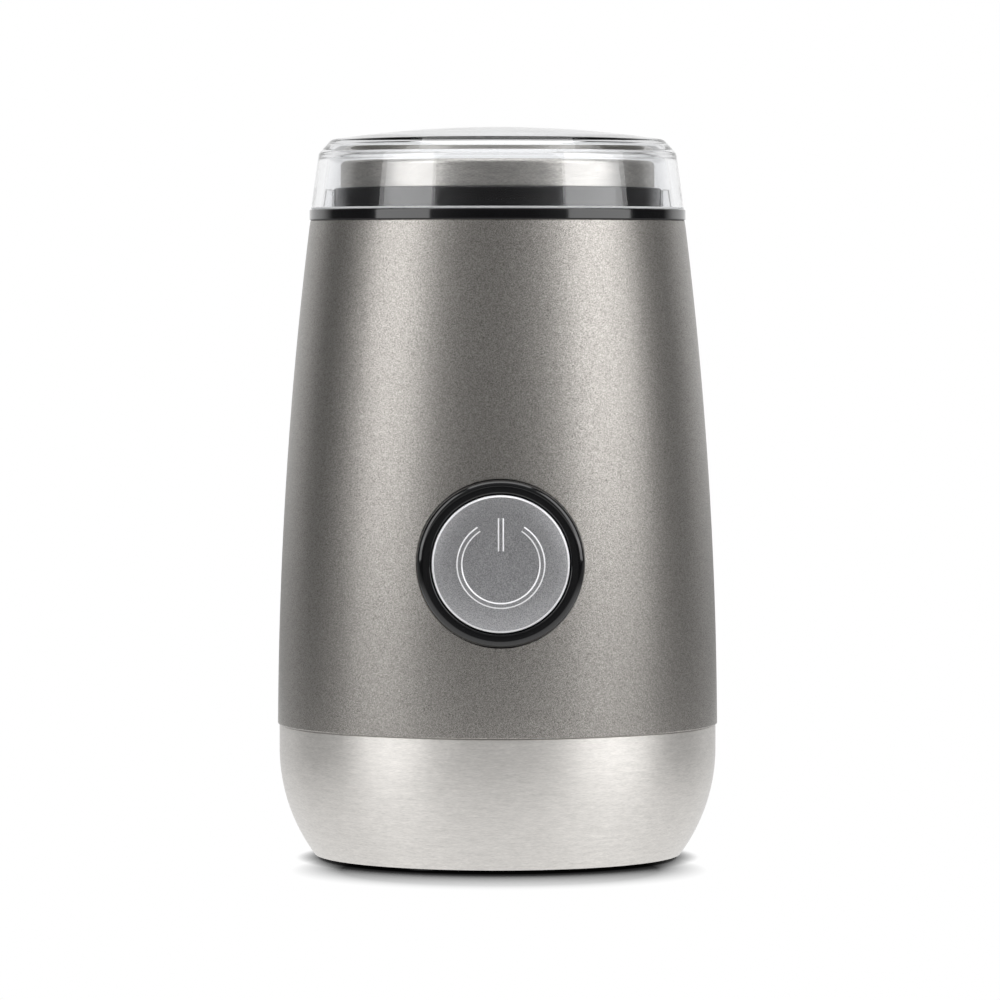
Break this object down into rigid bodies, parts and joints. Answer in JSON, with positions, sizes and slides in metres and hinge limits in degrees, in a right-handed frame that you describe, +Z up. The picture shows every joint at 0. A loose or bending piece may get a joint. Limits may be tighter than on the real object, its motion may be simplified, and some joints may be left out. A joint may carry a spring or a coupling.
{
  "type": "electric spice grinder",
  "caption": "Round tapered electric spice grinder with a clear lid, steel bowl, spinning blade, push button on the front and a brushed steel base.",
  "frame": {"origin": "middle of the footprint, on the surface that the grinder stands on", "axes": "+Z up along the motor shaft, -Y out of the front through the button, +Y out of the back through the cord entry"},
  "size_m": [0.1078, 0.1124, 0.179],
  "materials": {
    "housing_paint": "moulded shell with a fine warm-grey metallic paint, satin",
    "brushed_steel": "stainless sheet, brushed round the axis",
    "black_gloss": "polished",
    "clear_plastic": "clear, polished",
    "button_silver": "silver paint, fine grain",
    "blade_steel": "ground",
    "zinc_steel": "zinc plated",
    "rubber": "moulded, matt",
    "black_matt": "moulded, fine texture",
    "nylon": "moulded, natural",
    "brass": "sintered or turned",
    "copper": "enamelled copper",
    "lamination": "stacked electrical steel",
    "cast_aluminium": "die cast",
    "carbon": "pressed carbon",
    "red_nylon": "moulded",
    "amber_film": "dipped film",
    "lead_insulation": "insulated leads"
  },
  "bodies": {
    "body": {"housing": "housing_paint", "base_cover": "brushed_steel", "base_plate": "black_matt", "base_screws": "zinc_steel", "rubber_feet": "rubber", "top_collar": "black_gloss", "bowl": "brushed_steel", "bowl_gasket": "rubber", "shaft_seal": "rubber", "shaft_bush": "brass", "stator_core": "lamination", "field_coils": "copper", "stator_bolts": "zinc_steel", "upper_bracket": "cast_aluminium", "lower_bracket": "cast_aluminium", "upper_bearing": "brass", "lower_bearing": "brass", "bearing_retainers": "zinc_steel", "brush_holders": "brass", "carbon_brushes": "carbon", "brush_springs": "zinc_steel", "motor_mounts": "rubber", "mount_screws": "zinc_steel", "button_bezel": "black_gloss", "button_spring": "zinc_steel", "switch_bracket": "nylon", "switch_screws": "zinc_steel", "start_switch": "black_matt", "interlock_spring": "zinc_steel", "interlock_bracket": "black_matt", "interlock_screws": "zinc_steel", "interlock_switch": "black_matt", "cord_gland": "rubber", "cord_clamp": "black_matt", "clamp_screws": "zinc_steel", "terminal_block": "nylon", "suppressor_capacitor": "amber_film", "thermal_cutout": "zinc_steel", "inner_leads": "lead_insulation"},
    "lid": {"lid": "clear_plastic"},
    "rotor": {"blade": "blade_steel", "blade_spacer": "brass", "blade_nut": "blade_steel", "motor_shaft": "zinc_steel", "armature_core": "lamination", "armature_windings": "copper", "commutator": "copper", "cooling_fan": "nylon"},
    "start_button": {"start_button": "button_silver", "start_plunger": "red_nylon"},
    "interlock": {"interlock_rod": "nylon", "interlock_plunger": "red_nylon"}
  },
  "joints": [
    {"name": "lid_lift", "type": "slide", "parent": "body", "child": "lid", "axis": [0, 0, 1], "range_m": [0, 0.06]},
    {"name": "interlock_rise", "type": "slide", "parent": "body", "child": "interlock", "axis": [0, 0, 1], "range_m": [0, 0.003], "deforming": ["interlock_spring"]},
    {"name": "button_press", "type": "slide", "parent": "body", "child": "start_button", "axis": [0, 1, 0], "range_m": [0, 0.0025], "stiffness_N_per_m": 600, "springref_m": -0.005, "deforming": ["button_spring"]},
    {"name": "rotor_spin", "type": "hinge", "parent": "body", "child": "rotor", "pos_m": [0, 0, 0.09], "axis": [0, 0, 1], "continuous": true}
  ],
  "couplings": [
    {"joint": "interlock_rise", "follows": "lid_lift", "ratio": 0.05}
  ]
}
